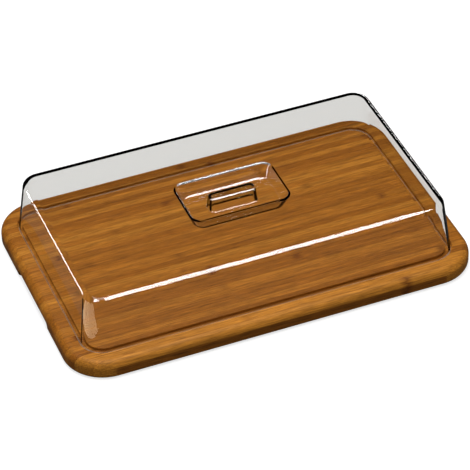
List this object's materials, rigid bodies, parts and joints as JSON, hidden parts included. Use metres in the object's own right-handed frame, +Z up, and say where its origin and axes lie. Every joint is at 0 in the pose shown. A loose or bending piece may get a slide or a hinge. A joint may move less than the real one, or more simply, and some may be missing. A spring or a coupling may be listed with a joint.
{
  "type": "cheese dome",
  "caption": "Clear rectangular cheese cover with a sunken pinch grip, standing in the groove of a laminated bamboo serving board with finger recesses.",
  "frame": {"origin": "centre of the board's underside, on the surface that it stands on", "axes": "+X along the board's length, +Y across the board from its front edge to its back edge, +Z up, the way the dome lifts"},
  "size_m": [0.38, 0.24, 0.067],
  "materials": {
    "bamboo": "caramel-brown laminated bamboo, sanded and oiled, satin",
    "clear_plastic": "clear moulded plastic, polished"
  },
  "bodies": {
    "board": {"bamboo_strip_01": "bamboo", "bamboo_strip_02": "bamboo", "bamboo_strip_03": "bamboo", "bamboo_strip_04": "bamboo", "bamboo_strip_05": "bamboo", "bamboo_strip_06": "bamboo", "bamboo_strip_07": "bamboo", "bamboo_strip_08": "bamboo", "bamboo_strip_09": "bamboo", "bamboo_strip_10": "bamboo", "bamboo_strip_11": "bamboo", "bamboo_strip_12": "bamboo", "bamboo_strip_13": "bamboo", "bamboo_strip_14": "bamboo", "bamboo_strip_15": "bamboo", "bamboo_strip_16": "bamboo", "bamboo_strip_17": "bamboo", "bamboo_strip_18": "bamboo", "bamboo_strip_19": "bamboo", "bamboo_strip_20": "bamboo", "bamboo_strip_21": "bamboo", "bamboo_strip_22": "bamboo", "bamboo_strip_23": "bamboo", "bamboo_strip_24": "bamboo", "bamboo_strip_25": "bamboo", "bamboo_strip_26": "bamboo", "bamboo_strip_27": "bamboo", "bamboo_strip_28": "bamboo", "bamboo_strip_29": "bamboo", "bamboo_strip_30": "bamboo", "bamboo_strip_31": "bamboo", "bamboo_strip_32": "bamboo", "bamboo_strip_33": "bamboo", "bamboo_strip_34": "bamboo", "bamboo_strip_35": "bamboo", "bamboo_strip_36": "bamboo"},
    "dome": {"clear_dome": "clear_plastic"}
  },
  "joints": [
    {"name": "dome_lift", "type": "slide", "parent": "board", "child": "dome", "axis": [0, 0, 1], "range_m": [0, 0.12]}
  ]
}
